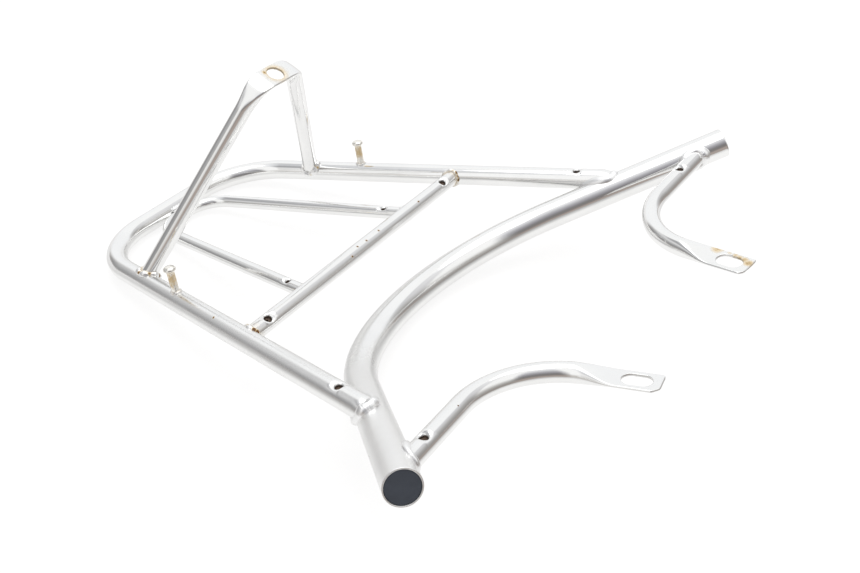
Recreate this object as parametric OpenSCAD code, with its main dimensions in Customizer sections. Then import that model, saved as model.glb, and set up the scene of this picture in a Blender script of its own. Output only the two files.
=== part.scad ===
// Chromed tube rear rack with a grab bar, drawn as it lies: deck side down, stay up.
// Millimetres. X runs across the rack, the grab bar ends point to -Y, Z is up.
// Every tube is drawn level with its deck first and then leaned into its lying pose.

/* [Tubes] */
// outside diameter of the grab bar
bar_d = 22; // [20:0.5:24]
// outside diameter of the outer loop
loop_d = 16; // [15:0.5:18]
// outside diameter of the cross bar
cross_d = 12; // [11:0.5:13]
// outside diameter of the inner loop
inner_d = 10; // [9:0.5:11]
// outside diameter of the rear stay
stay_d = 12; // [11:0.5:13]
// outside diameter of the front arms
arm_d = 13; // [12:0.5:14]
// wall of all the tubes
tube_wall = 1; // [0.8:0.1:1.5]

/* [Deck] */
// half the width at the rear, where rail and rear bar axes cross
rear_half = 81; // [76:1:88]
// how far each rail turns outwards towards the front, degrees
rail_splay = 13.4; // [11:0.2:15]
// bend radius of the rear corners
corner_r = 60; // [50:1:65]
// rear bar axis to cross bar axis
cross_y = 200; // [185:1:210]
// half the width of the inner loop at the cross bar
inner_half = 62.5; // [60:0.5:66]
// how far each inner leg turns inwards towards the rear, degrees
inner_taper = 10.6; // [9.6:0.2:11]
// bend radius of the inner loop
inner_r = 28; // [22:1:29]

/* [Grab bar] */
// rear bar axis to the middle of the bow
bow_y = 237; // [232:1:244]
// leg's axis below the rail's axis, where they meet
leg_drop = 5.6; // [4.2:0.2:7.2]
// radius of the bow
bow_r = 165; // [158:1:170]
// half the angle of the bow, degrees
bow_half = 48.8; // [46:0.2:51]
// rise of the bar's own plane towards its ends, degrees
bow_slope = 17.7; // [16:0.1:19]
// straight leg after the bow, each side
leg_len = 140; // [134:1:145]
// length of the end plug inside the bar
plug_in = 14; // [10:1:20]
// how far the plug's face lies inside the bar's end
plug_sink = 0.6; // [0.2:0.1:1.5]

/* [Rear stay] */
// rear bar axis to the stay's feet
stay_y = 71.7; // [66:0.5:78]
// lean of the stay towards the front, degrees
stay_lean = 31.5; // [28:0.5:34]
// feet to the flat along the stay's plane
stay_h = 152.4; // [146:0.5:158]
// half the flat, between the bends' corners
stay_top = 17.6; // [16:0.2:20]
// width of the flattened top
stay_flat_w = 17.5; // [17:0.1:18.5]
// bolt hole in the flat
stay_hole = 12.5; // [8.5:0.25:13]

/* [Front arms] */
// from the leg's end to the arm, along the leg
arm_in = 16.6; // [14:0.2:22]
// arm's run inwards, to the corner of its bend
arm_run = 120; // [114:1:126]
// arm's reach forwards, corner of the bend to the slot
arm_reach = 82; // [78:1:90]
// bend radius of the arm
arm_r = 57; // [48:1:58]
// width of the arm's flattened end
arm_flat_w = 19; // [18.5:0.25:21]
// width of the slot
slot_w = 12; // [8.5:0.25:13]
// length of the slot
slot_len = 18.5; // [16:0.25:21]

/* [Pegs, vents and welds] */
// rear bar axis to the strap pegs
peg_y = 119; // [110:1:126]
// shaft of the strap peg
peg_d = 5.5; // [5:0.25:6]
// head of the strap peg
peg_head = 9; // [8:0.25:10]
// peg's height above the rail's axis
peg_h = 28.5; // [26:0.5:33]
// vent hole in loop, cross bar and arms
vent_d = 6.5; // [5:0.25:7]
// vent hole in the inner loop
vent_inner = 5.5; // [4:0.25:6]
// throat of the weld beads
weld = 2.4; // [1.8:0.1:3]

/* [Hidden] */
$fn = 64;
// bends run a little into the straights and are a hair thinner there
lap = 0.6;
step = 0.05;
// a tube pressed flat is two walls thick
flat_t = 2 * tube_wall;
// rear corners
corner_turn = 90 - rail_splay;
corner_x = rear_half - corner_r * tan(corner_turn / 2);
// end of the bow, on the +X side
bow_end_x = bow_r * sin(bow_half);
bow_end_f = bow_r * (1 - cos(bow_half));
// where the rail's axis meets the leg's axis, seen from above
bow_end_y = -bow_y - bow_end_f * cos(bow_slope);
meet_s = (bow_end_x - rear_half + bow_end_y * tan(rail_splay))
    / (sin(bow_half) * cos(bow_slope) * tan(rail_splay) - cos(bow_half));
rail_len = (meet_s * sin(bow_half) * cos(bow_slope) - bow_end_y) / cos(rail_splay);
// bow axis below the deck's axis plane, so that the leg comes up to the rail
bow_drop = leg_drop + (bow_end_f + meet_s * sin(bow_half)) * sin(bow_slope);
// point of the leg's axis, s after the end of the bow
function bar_point(s) = [
    bow_end_x + s * cos(bow_half),
    -bow_y - (bow_end_f + s * sin(bow_half)) * cos(bow_slope),
    -bow_drop + (bow_end_f + s * sin(bow_half)) * sin(bow_slope)
];
// lying pose: one plane under the bow and the rear bar
tilt = atan2(bow_drop, bow_y) + asin((bar_d - loop_d) / 2 / norm([bow_y, bow_drop]));
function rail_point(y) = [rear_half + y * tan(rail_splay), -y, 0];
// inner loop: flush with the loop on the deck side, close against the rear bar
inner_z = -(loop_d - inner_d) / 2;
inner_gap = 0.05;
inner_y = sqrt(pow((loop_d + inner_d) / 2 + inner_gap, 2) - pow(inner_z, 2));
inner_turn = 90 - inner_taper;
inner_rear = inner_half - (cross_y - inner_y) * tan(inner_taper);
inner_x = inner_rear - inner_r * tan(inner_turn / 2);
// rear stay in its own plane
stay_foot = rail_point(stay_y)[0];
stay_turn = atan2(stay_h, stay_foot - stay_top);
stay_leg = norm([stay_foot - stay_top, stay_h]);
stay_bend = 10;
stay_cut = stay_bend * tan(stay_turn / 2);
stay_flare = 20;
// arms: run inwards, bend, flattened end
arm_tilt = 4.7;
arm_yaw = 4.4;
arm_toe = 10.3;
arm_turn = 90 - arm_toe + arm_yaw;
arm_cut = arm_r * tan(arm_turn / 2);
// end of the arm after its bend: round neck, flare, land, slot, land, clipped corners
arm_neck = 4;
slot_land = 3;
tip_land = 5.5;
tip_clip = 5;
arm_flare = arm_reach - arm_cut - slot_len / 2 - slot_land - arm_neck;
arm_tip = slot_len / 2 + tip_land;
arm_from = bar_point(leg_len - arm_in);
// vents: on the rail before the cross bar, on the cross bar, on the inner leg, on each arm
vent_rail_at = 98;
vent_cross_in = 22;
vent_cross_lean = 28;
vent_leg_at = 22;
vent_left_arm_at = 28;
vent_right_arm_at = 38;
// strap peg: height of each of its head's three turned steps
peg_step = 1.5;
// tubes that only shape a bead reach this far from the joint
bead_reach = 40;
// shift that brings the middle of the lying rack over the origin
slot_y = arm_from[1] + arm_run * sin(arm_yaw) - arm_reach * cos(arm_toe);
slot_z = arm_from[2] - (arm_run * cos(arm_yaw) + arm_reach * sin(arm_toe)) * sin(arm_tilt);
tip_half = arm_flat_w / 2 - tip_clip / sqrt(2);
tip_y = slot_y - arm_tip * cos(arm_toe) - tip_half * sin(arm_toe);
front_y = tip_y * cos(tilt) + (slot_z - flat_t / 2) * sin(tilt);
mid_y = (front_y + loop_d / 2) / 2;

// from the level deck to the lying pose
module lying() {
    translate([0, -mid_y, loop_d / 2]) rotate([-tilt, 0, 0]) children();
}

module other_side() {
    mirror([1, 0, 0]) children();
}

// children stand at p with Z towards q
module along(p, q) {
    d = q - p;
    translate(p) rotate([0, acos(d[2] / norm(d)), atan2(d[1], d[0])]) children();
}

module rod(p, q, r) {
    along(p, q) cylinder(h = norm(q - p), r = r);
}

// bent tube of bend radius big, from the +X axis by turn degrees
module bend(big, turn, r) {
    over = lap / big * 180 / PI;
    rotate([0, 0, -over]) rotate_extrude(angle = turn + 2 * over) translate([big, 0]) circle(r = r - step);
}

// grab bar: bow and two legs; more lengthens the legs
module bar_leg(r, more = 0) {
    rod(bar_point(0), bar_point(leg_len + more), r);
}

module bar_body(r, more = 0) {
    translate([0, -bow_y, -bow_drop]) rotate([-bow_slope, 0, 0]) translate([0, -bow_r, 0])
        rotate([0, 0, 90 - bow_half]) bend(bow_r, 2 * bow_half, r);
    bar_leg(r, more);
    other_side() bar_leg(r, more);
}

// outer loop: rear bar, corners and rails, on the level z = 0
module rail(r) {
    cut = corner_r * tan(corner_turn / 2);
    a = [rear_half + cut * sin(rail_splay), -cut * cos(rail_splay), 0];
    b = [rear_half + rail_len * sin(rail_splay), -rail_len * cos(rail_splay), 0];
    rod(a, b, r);
}

module loop_corner(r) {
    translate([corner_x, -corner_r, 0]) rotate([0, 0, rail_splay]) bend(corner_r, corner_turn, r);
}

module loop_body(r) {
    rod([-corner_x, 0, 0], [corner_x, 0, 0], r);
    loop_corner(r);
    rail(r);
    other_side() {
        loop_corner(r);
        rail(r);
    }
}

module cross_body(r, half) {
    rod([-half, -cross_y, 0], [half, -cross_y, 0], r);
}

// inner loop: two legs, two bends and a short rear bar
module inner_leg(r) {
    cut = inner_r * tan(inner_turn / 2);
    a = [inner_rear + cut * sin(inner_taper), -inner_y - cut * cos(inner_taper), inner_z];
    b = [inner_half, -cross_y, inner_z];
    rod(a, b, r);
}

module inner_corner(r) {
    translate([inner_x, -inner_y - inner_r, inner_z]) rotate([0, 0, inner_taper]) bend(inner_r, inner_turn, r);
}

module inner_body(r) {
    rod([-inner_x, -inner_y, inner_z], [inner_x, -inner_y, inner_z], r);
    inner_corner(r);
    inner_leg(r);
    other_side() {
        inner_corner(r);
        inner_leg(r);
    }
}

// round tube pressed flat over a length: a widening cone between two closing planes, then a short flat
module flare(d, w, t, len, more) {
    side = d / 2 + 4 * step;
    intersection() {
        union() {
            translate([0, 0, -lap]) cylinder(h = len + lap, r1 = d / 2 - step, r2 = w / 2);
            translate([0, 0, len - lap]) cylinder(h = more + lap, r = w / 2);
        }
        rotate([90, 0, 0]) linear_extrude(height = 2 * w, center = true)
            polygon([
                [-side, -2 * lap], [side, -2 * lap], [side, 0], [t / 2, len], [t / 2, len + more],
                [-t / 2, len + more], [-t / 2, len], [-side, 0]
            ]);
    }
}

// a vent drilled from above into a tube of diameter d at p, turned to the front by lean degrees
module vent(p, d, hole, lean = 0) {
    translate(p) rotate([lean, 0, 0]) cylinder(h = d, d = hole);
}

// stay: local X across, local Z up along the leaning plane
module stay_place() {
    translate([0, -stay_y, 0]) rotate([stay_lean, 0, 0]) children();
}

module stay_leg_place() {
    translate([stay_foot, 0, 0]) rotate([0, stay_turn - 90, 0]) children();
}

module stay_tube(r, top) {
    stay_leg_place() cylinder(h = top, r = r);
}

module stay_half() {
    round_end = stay_leg - stay_cut - stay_flare;
    over = lap / 2 / stay_bend * 180 / PI;
    thin = [flat_t - 2 * step, stay_flat_w - 16 * step];
    stay_tube(stay_d / 2, round_end);
    stay_leg_place() translate([0, 0, round_end])
        flare(stay_d, stay_flat_w, flat_t, stay_flare - 2, 2);
    translate([stay_top - stay_cut, 0, stay_h - stay_bend]) rotate([90, 0, 0])
        rotate([0, 0, 90 - stay_turn - over]) rotate_extrude(angle = stay_turn + 2 * over)
            translate([stay_bend, 0]) square(thin, center = true);
}

module stay_plate() {
    half = stay_top - stay_cut;
    translate([-half, -stay_flat_w / 2, stay_h - flat_t / 2]) cube([2 * half, stay_flat_w, flat_t]);
}

// arm of the +X side: drawn from the bar's axis, inwards along -X
module arm_place() {
    translate(arm_from) mirror([1, 0, 0]) rotate([0, arm_tilt, 0]) rotate([0, 0, arm_yaw]) children();
}

module arm_first(r) {
    rotate([0, 90, 0]) cylinder(h = arm_run - arm_cut, r = r);
}

module arm_bent(r) {
    arm_first(r);
    translate([arm_run - arm_cut, -arm_r, 0]) rotate([0, 0, 90 - arm_turn]) bend(arm_r, arm_turn, r);
}

module arm_end_place() {
    translate([arm_run, 0, 0]) rotate([0, 0, -arm_turn]) translate([arm_cut, 0, 0]) children();
}

module arm_flat() {
    slot_at = arm_reach - arm_cut;
    reach = slot_at + arm_tip;
    difference() {
        union() {
            rotate([0, 90, 0]) cylinder(h = arm_neck, d = arm_d);
            translate([arm_neck, 0, 0]) rotate([0, 90, 0])
                flare(arm_d, arm_flat_w, flat_t, arm_flare, slot_land + slot_len / 2 + arm_tip);
        }
        translate([slot_at, 0, -flat_t]) linear_extrude(height = 2 * flat_t) {
            translate([(slot_len - slot_w) / 2, 0]) circle(d = slot_w);
            translate([-(slot_len - slot_w) / 2, 0]) circle(d = slot_w);
            square([slot_len - slot_w, slot_w], center = true);
        }
        for (side = [-1, 1])
            translate([reach, side * arm_flat_w / 2, 0]) rotate([0, 0, 45])
                cube([tip_clip, tip_clip, 3 * flat_t], center = true);
    }
}

module grab_bar() {
    color([0.80, 0.81, 0.83]) lying() difference() {
        bar_body(bar_d / 2);
        bar_body(bar_d / 2 - tube_wall, 1);
    }
}

module outer_loop() {
    color([0.80, 0.81, 0.83]) lying() difference() {
        loop_body(loop_d / 2);
        loop_body(loop_d / 2 - tube_wall);
        bar_leg(bar_d / 2);
        other_side() bar_leg(bar_d / 2);
        vent(rail_point(cross_y + vent_rail_at), loop_d, vent_d);
        other_side() vent(rail_point(cross_y + vent_rail_at), loop_d, vent_d);
    }
}

module cross_bar() {
    at = rail_point(cross_y)[0];
    color([0.80, 0.81, 0.83]) lying() difference() {
        cross_body(cross_d / 2, at);
        cross_body(cross_d / 2 - tube_wall, at + 1);
        rail(loop_d / 2);
        other_side() rail(loop_d / 2);
        vent([at - vent_cross_in, -cross_y, 0], cross_d, vent_d, vent_cross_lean);
        vent([vent_cross_in - at, -cross_y, 0], cross_d, vent_d, vent_cross_lean);
    }
}

module inner_loop() {
    spot = [inner_half - vent_leg_at * tan(inner_taper), vent_leg_at - cross_y, inner_z];
    color([0.80, 0.81, 0.83]) lying() difference() {
        inner_body(inner_d / 2);
        inner_body(inner_d / 2 - tube_wall);
        cross_body(cross_d / 2, 2 * inner_half);
        vent(spot, inner_d, vent_inner);
        other_side() vent(spot, inner_d, vent_inner);
    }
}

module rear_stay() {
    color([0.80, 0.81, 0.83]) lying() difference() {
        stay_place() difference() {
            union() {
                stay_half();
                other_side() stay_half();
                stay_plate();
            }
            stay_tube(stay_d / 2 - tube_wall, stay_leg - stay_cut - stay_flare - 1);
            other_side() stay_tube(stay_d / 2 - tube_wall, stay_leg - stay_cut - stay_flare - 1);
            translate([0, 0, stay_h - flat_t]) cylinder(h = 2 * flat_t, d = stay_hole);
        }
        rail(loop_d / 2);
        other_side() rail(loop_d / 2);
    }
}

module arm(vent_at) {
    difference() {
        arm_place() difference() {
            union() {
                arm_bent(arm_d / 2);
                arm_end_place() arm_flat();
            }
            arm_bent(arm_d / 2 - tube_wall);
            vent([vent_at, 0, 0], arm_d, vent_d);
        }
        bar_leg(bar_d / 2);
    }
}

module left_arm() {
    color([0.80, 0.81, 0.83]) lying() other_side() arm(vent_left_arm_at);
}

module right_arm() {
    color([0.80, 0.81, 0.83]) lying() arm(vent_right_arm_at);
}

module peg() {
    p = rail_point(peg_y);
    difference() {
        translate(p) {
            cylinder(h = peg_h - 2 * peg_step, d = peg_d);
            translate([0, 0, peg_h - 3 * peg_step]) cylinder(h = peg_step, d1 = peg_d, d2 = peg_head);
            translate([0, 0, peg_h - 2 * peg_step]) cylinder(h = peg_step, d = peg_head);
            translate([0, 0, peg_h - peg_step]) cylinder(h = peg_step, d1 = peg_head, d2 = peg_d);
        }
        rail(loop_d / 2);
    }
}

module left_peg() {
    color([0.72, 0.62, 0.42]) lying() other_side() peg();
}

module right_peg() {
    color([0.72, 0.62, 0.42]) lying() peg();
}

module end_plug() {
    slack = 0.1;
    plug_wall = 2.4;
    edge = 0.6;
    stem_d = bar_d - 2 * (tube_wall + slack);
    along(bar_point(leg_len - plug_sink - plug_in), bar_point(leg_len)) difference() {
        union() {
            cylinder(h = plug_in - edge, d = stem_d);
            translate([0, 0, plug_in - edge]) cylinder(h = edge, d1 = stem_d, d2 = stem_d - 2 * edge);
        }
        translate([0, 0, -1]) cylinder(h = plug_in - plug_wall + 1, d = stem_d - 2 * plug_wall);
    }
}

module left_end_plug() {
    color([0.10, 0.11, 0.13]) lying() other_side() end_plug();
}

module right_end_plug() {
    color([0.10, 0.11, 0.13]) lying() end_plug();
}

// a weld bead: the corner between two grown tubes, without the tubes themselves
module loop_weld() {
    difference() {
        intersection() {
            rail(loop_d / 2 + weld);
            bar_leg(bar_d / 2 + weld);
        }
        rail(loop_d / 2);
        bar_leg(bar_d / 2);
    }
}

module cross_weld() {
    at = rail_point(cross_y)[0];
    difference() {
        intersection() {
            rod([at - bead_reach, -cross_y, 0], [at, -cross_y, 0], cross_d / 2 + weld);
            rail(loop_d / 2 + weld);
        }
        cross_body(cross_d / 2, at + 1);
        rail(loop_d / 2);
    }
}

module inner_weld() {
    difference() {
        intersection() {
            inner_leg(inner_d / 2 + weld);
            cross_body(cross_d / 2 + weld, 2 * inner_half);
        }
        inner_leg(inner_d / 2);
        cross_body(cross_d / 2, 2 * inner_half);
    }
}

module stay_weld() {
    difference() {
        intersection() {
            stay_place() stay_tube(stay_d / 2 + weld, bead_reach);
            rail(loop_d / 2 + weld);
        }
        stay_place() stay_tube(stay_d / 2, bead_reach);
        rail(loop_d / 2);
    }
}

module arm_weld() {
    difference() {
        intersection() {
            arm_place() arm_first(arm_d / 2 + weld);
            bar_leg(bar_d / 2 + weld);
        }
        arm_place() arm_first(arm_d / 2);
        bar_leg(bar_d / 2);
    }
}

module peg_weld() {
    p = rail_point(peg_y);
    difference() {
        intersection() {
            translate(p) cylinder(h = loop_d, r = peg_d / 2 + weld);
            rail(loop_d / 2 + weld);
        }
        translate(p) cylinder(h = loop_d, d = peg_d);
        rail(loop_d / 2);
    }
}

module left_loop_weld() {
    color([0.70, 0.70, 0.71]) lying() other_side() loop_weld();
}

module right_loop_weld() {
    color([0.70, 0.70, 0.71]) lying() loop_weld();
}

module left_cross_weld() {
    color([0.70, 0.70, 0.71]) lying() other_side() cross_weld();
}

module right_cross_weld() {
    color([0.70, 0.70, 0.71]) lying() cross_weld();
}

module left_inner_weld() {
    color([0.70, 0.70, 0.71]) lying() other_side() inner_weld();
}

module right_inner_weld() {
    color([0.70, 0.70, 0.71]) lying() inner_weld();
}

module left_stay_weld() {
    color([0.70, 0.70, 0.71]) lying() other_side() stay_weld();
}

module right_stay_weld() {
    color([0.70, 0.70, 0.71]) lying() stay_weld();
}

module left_arm_weld() {
    color([0.70, 0.70, 0.71]) lying() other_side() arm_weld();
}

module right_arm_weld() {
    color([0.70, 0.70, 0.71]) lying() arm_weld();
}

module left_peg_weld() {
    color([0.70, 0.70, 0.71]) lying() other_side() peg_weld();
}

module right_peg_weld() {
    color([0.70, 0.70, 0.71]) lying() peg_weld();
}

// bead in the groove between the inner loop's rear bar and the outer loop's
module rear_weld() {
    reach = inner_x + weld;
    y = -loop_d / 2;
    z = inner_z + inner_d / 2;
    color([0.70, 0.70, 0.71]) lying() difference() {
        rod([-reach, y, z], [reach, y, z], weld);
        loop_body(loop_d / 2);
        inner_body(inner_d / 2);
    }
}

grab_bar();
outer_loop();
inner_loop();
cross_bar();
rear_stay();
left_arm();
right_arm();
left_peg();
right_peg();
left_end_plug();
right_end_plug();
left_loop_weld();
right_loop_weld();
left_cross_weld();
right_cross_weld();
left_inner_weld();
right_inner_weld();
left_stay_weld();
right_stay_weld();
left_arm_weld();
right_arm_weld();
left_peg_weld();
right_peg_weld();
rear_weld();
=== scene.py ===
"""Looks of a chromed tube rear rack with grab bar, lying deck side down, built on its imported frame.

Points are worked out in millimetres with the deck level, then laid down and given to the meshes in metres.
"""
import math

import bmesh
import bpy
import numpy as np
from mathutils import Matrix


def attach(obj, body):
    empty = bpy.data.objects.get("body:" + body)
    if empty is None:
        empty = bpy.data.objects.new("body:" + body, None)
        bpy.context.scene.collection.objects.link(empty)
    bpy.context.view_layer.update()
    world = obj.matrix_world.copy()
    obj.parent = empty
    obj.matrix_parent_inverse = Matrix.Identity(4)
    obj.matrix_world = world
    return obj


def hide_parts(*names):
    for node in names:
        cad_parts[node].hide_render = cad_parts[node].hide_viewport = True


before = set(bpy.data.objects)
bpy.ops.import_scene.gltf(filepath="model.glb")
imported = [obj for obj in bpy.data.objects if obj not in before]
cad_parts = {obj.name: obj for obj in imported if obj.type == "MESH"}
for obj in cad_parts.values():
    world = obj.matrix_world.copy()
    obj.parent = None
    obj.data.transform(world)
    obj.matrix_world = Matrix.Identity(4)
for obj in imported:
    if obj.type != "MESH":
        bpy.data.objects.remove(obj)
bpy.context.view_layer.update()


# Grab bar
# One 22 mm steel tube, bent to a wide bow whose two straight legs rise towards the front.
# It was chromed after welding. Hands and weather have clouded it, the left leg most, and left small pits.

bar_radius = 11.0
bar_wall = 1.0
bow_radius = 165.0
bow_half = math.radians(48.8)
bow_slope = math.radians(17.7)
bow_y = 237.0
leg_len = 140.0
leg_drop = 5.6
loop_radius = 8.0
rear_half = 81.0
rail_splay = math.radians(13.4)
rack_shift = 226.266
edge_steep = 2.5
merge_within = 2e-6
bar_around = 96
soft_range = {"interpolation_type": "SMOOTHSTEP"}

bow_end_x = bow_radius * math.sin(bow_half)
bow_end_out = bow_radius * (1 - math.cos(bow_half))
bow_end_y = -bow_y - bow_end_out * math.cos(bow_slope)
meet_top = bow_end_x - rear_half + bow_end_y * math.tan(rail_splay)
meet_under = math.sin(bow_half) * math.cos(bow_slope) * math.tan(rail_splay) - math.cos(bow_half)
meet_at = meet_top / meet_under
bow_drop = leg_drop + (bow_end_out + meet_at * math.sin(bow_half)) * math.sin(bow_slope)
rest_span = math.hypot(bow_y, bow_drop)
lean = math.atan2(bow_drop, bow_y) + math.asin((bar_radius - loop_radius) / rest_span)


def lay_down(points):
    """Level deck in mm to the lying rack in m: turned about X by the lean, then shifted over the origin."""
    x, y, z = np.moveaxis(np.asarray(points, float), -1, 0)
    laid_y = y * math.cos(lean) + z * math.sin(lean) + rack_shift
    laid_z = z * math.cos(lean) - y * math.sin(lean) + loop_radius
    return np.stack([x, laid_y, laid_z], -1) / 1000


def other_side(vectors):
    """The same points or directions on the -X side of the rack."""
    return np.asarray(vectors, float) * [-1, 1, 1]


def leg_point(along):
    """Point of the +X leg's axis, along millimetres after the end of the bow."""
    out = bow_end_out + along * math.sin(bow_half)
    x = bow_end_x + along * math.cos(bow_half)
    return np.array([x, -bow_y - out * math.cos(bow_slope), out * math.sin(bow_slope) - bow_drop])


def bent_path(corners, radius, pitch=1.2, least_arc=6):
    """Line through corners, each inner one rounded to the bend radius; gives the points and their headings.

    An arc starts radius * tan(turn / 2) before its corner. Its points are
    centre + radius * (sin a * heading before - cos a * direction to the centre).
    """
    corners = np.asarray(corners, float)
    heads = np.diff(corners, axis=0)
    heads /= np.linalg.norm(heads, axis=1)[:, None]
    points = []
    headings = []
    start = corners[0]
    for corner, before, after in zip(corners[1:-1], heads[:-1], heads[1:]):
        turn = math.acos(before @ after)
        inward = after - before * (before @ after)
        inward /= np.linalg.norm(inward)
        cut = radius * math.tan(turn / 2)
        bend_from = corner - before * cut
        share = np.arange(0, 1, pitch / max(np.linalg.norm(bend_from - start), pitch))[:, None]
        points.append(start + (bend_from - start) * share)
        headings.append(np.repeat(before[None], len(share), 0))
        angle = np.linspace(0, turn, int(radius * turn / pitch) + least_arc)[:-1, None]
        centre = bend_from + inward * radius
        points.append(centre + radius * (np.sin(angle) * before - np.cos(angle) * inward))
        headings.append(np.cos(angle) * before + np.sin(angle) * inward)
        start = corner + after * cut
    count = int(np.linalg.norm(corners[-1] - start) / pitch) + 2
    share = np.linspace(0, 1, count)[:, None]
    points.append(start + (corners[-1] - start) * share)
    headings.append(np.repeat(heads[-1][None], count, 0))
    return np.concatenate(points), np.concatenate(headings)


def sweep(path, heads, thin, half_thick, flat=0.0, around=72):
    """Pressed or round tube carried along a path.

    A point lies half_thick * cos a along thin. Across it, the point lies half_thick * sin a plus the flat's
    half width times sin a, steepened and cut to -1..1.
    """
    angle = np.linspace(0, 2 * np.pi, around, endpoint=False) - np.pi / 2
    thin = np.broadcast_to(thin, path.shape)
    wide = np.cross(heads, thin)
    half_thick = np.broadcast_to(half_thick, len(path))[:, None, None]
    flat = np.broadcast_to(flat, len(path))[:, None, None]
    rise = np.cos(angle)[None, :, None]
    run = np.sin(angle)[None, :, None]
    across = half_thick * run + flat * np.clip(edge_steep * run, -1, 1)
    return path[:, None] + half_thick * rise * thin[:, None] + across * wide[:, None]


def open_end(path, heads, radius, profile):
    """Centres, headings and radii of a tube with a turned-in lip at both ends.

    The lips take the place of the path's end points. Rows of their profile are (outwards, radius).
    """
    out, lip = np.asarray(profile, float).T
    first = path[0] - heads[0] * out[::-1, None]
    last = path[-1] + heads[-1] * out[:, None]
    first_heads = np.repeat(heads[:1], len(out), 0)
    last_heads = np.repeat(heads[-1:], len(out), 0)
    centres = np.concatenate([first, path[1:-1], last])
    headings = np.concatenate([first_heads, heads[1:-1], last_heads])
    radii = np.concatenate([lip[::-1], np.full(len(path) - 2, radius), lip])
    return centres, headings, radii


def make_piece(name, patches, stains=(), faces_gone=None):
    """One mesh of point grids that join where their points meet, with the masks rust, haze and inside, the
    last a painted shade and duller metal in holes.

    A patch is (points, closed round its columns, inside mask or 0). faces_gone leaves quads of the first out.
    A stain is (mask, place, reach, strength). It falls off as the distance squared, to none at its reach.
    """
    points = []
    inside = []
    quads = []
    offset = 0
    for number, (grid, closed, dark) in enumerate(patches):
        rows, columns = grid.shape[:2]
        index = np.arange(rows * columns).reshape(rows, columns) + offset
        offset += rows * columns
        if closed:
            index = np.concatenate([index, index[:, :1]], 1)
        corner = np.stack([index[:-1, :-1], index[:-1, 1:], index[1:, 1:], index[1:, :-1]], -1)
        if number == 0 and faces_gone is not None:
            corner = corner[~faces_gone]
        quads.append(corner.reshape(-1, 4))
        points.append(grid.reshape(-1, 3))
        dark_rows = np.asarray(dark, float).reshape(-1, 1)
        inside.append(np.broadcast_to(dark_rows, (rows, columns)).ravel())
    points = np.concatenate(points)
    masks = {"rust": np.zeros(len(points)), "haze": np.zeros(len(points)), "inside": np.concatenate(inside)}
    for mask, place, reach, strength in stains:
        away = np.linalg.norm(points - np.asarray(place, float), axis=1)
        masks[mask] = np.maximum(masks[mask], strength * np.clip(1 - (away / reach) ** 2, 0, 1))
    mesh = bpy.data.meshes.new(name)
    mesh.from_pydata(lay_down(points), [], np.concatenate(quads).tolist())
    for label, values in masks.items():
        layer = mesh.attributes.new(label, "FLOAT", "POINT")
        layer.data.foreach_set("value", values.astype(np.float32))
    shell = bmesh.new()
    shell.from_mesh(mesh)
    bmesh.ops.remove_doubles(shell, verts=shell.verts, dist=merge_within)
    shell.to_mesh(mesh)
    shell.free()
    mesh.shade_smooth()
    piece = bpy.data.objects.new(name, mesh)
    bpy.context.scene.collection.objects.link(piece)
    return piece


def colour(hex_code):
    """sRGB hex to linear red, green, blue, alpha."""
    parts = [int(hex_code[i : i + 2], 16) / 255 for i in (1, 3, 5)]
    return tuple(c / 12.92 if c <= 0.04045 else ((c + 0.055) / 1.055) ** 2.4 for c in parts) + (1.0,)


def set_sockets(tree, node, **sources):
    """Sets sockets from a node, a socket or a value. n2 is socket 2, and Base_Color is Base Color."""
    for key, value in sources.items():
        spot = int(key[1:]) if key[0] == "n" and key[1:].isdigit() else key.replace("_", " ")
        source = value.outputs[0] if isinstance(value, bpy.types.Node) else value
        if isinstance(source, bpy.types.NodeSocket):
            tree.links.new(source, node.inputs[spot])
        else:
            node.inputs[spot].default_value = source


def add_node(tree, kind, settings=None, **sources):
    """Adds a node. settings are its properties, and sources set its sockets."""
    made = tree.nodes.new(kind)
    for key, value in (settings or {}).items():
        setattr(made, key, value)
    set_sockets(tree, made, **sources)
    return made


def new_material(name):
    """Empty node material with its tree and shader."""
    made = bpy.data.materials.new(name)
    made.use_nodes = True
    return made, made.node_tree, made.node_tree.nodes["Principled BSDF"]


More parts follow.
